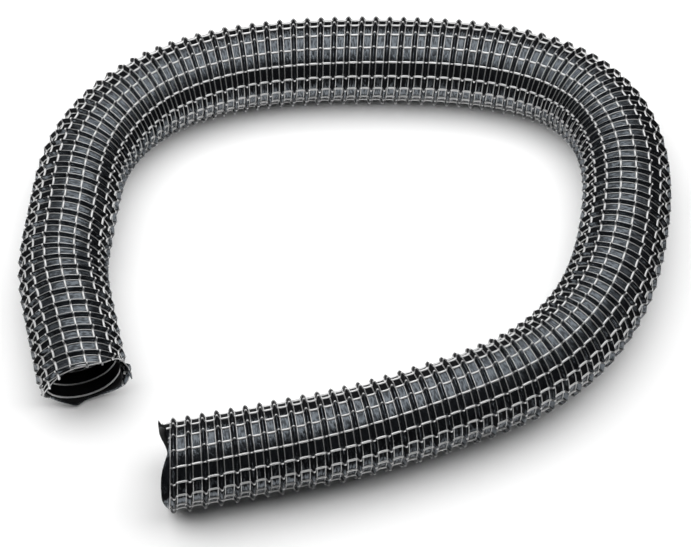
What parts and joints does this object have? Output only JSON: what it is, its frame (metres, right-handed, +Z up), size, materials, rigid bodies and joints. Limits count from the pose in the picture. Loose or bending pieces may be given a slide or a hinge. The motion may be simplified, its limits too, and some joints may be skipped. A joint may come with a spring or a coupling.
{
  "type": "vacuum hose",
  "caption": "Flexible vacuum hose lying in an open loop, with a sharp helical rib over a wire, a thin inner ply and two plain cut ends.",
  "frame": {"origin": "on the floor under the middle of the loop's bounding box", "axes": "+Z up from the floor that the hose lies on, +X along the loop's longer side, +Y away from the two cut ends"},
  "size_m": [0.3304, 0.2846, 0.0449],
  "materials": {
    "outer_film": "satin",
    "spring_wire": "drawn",
    "inner_film": "satin"
  },
  "bodies": {
    "hose": {"outer_ply": "outer_film", "wire_helix": "spring_wire", "inner_ply": "inner_film"}
  },
  "joints": []
}
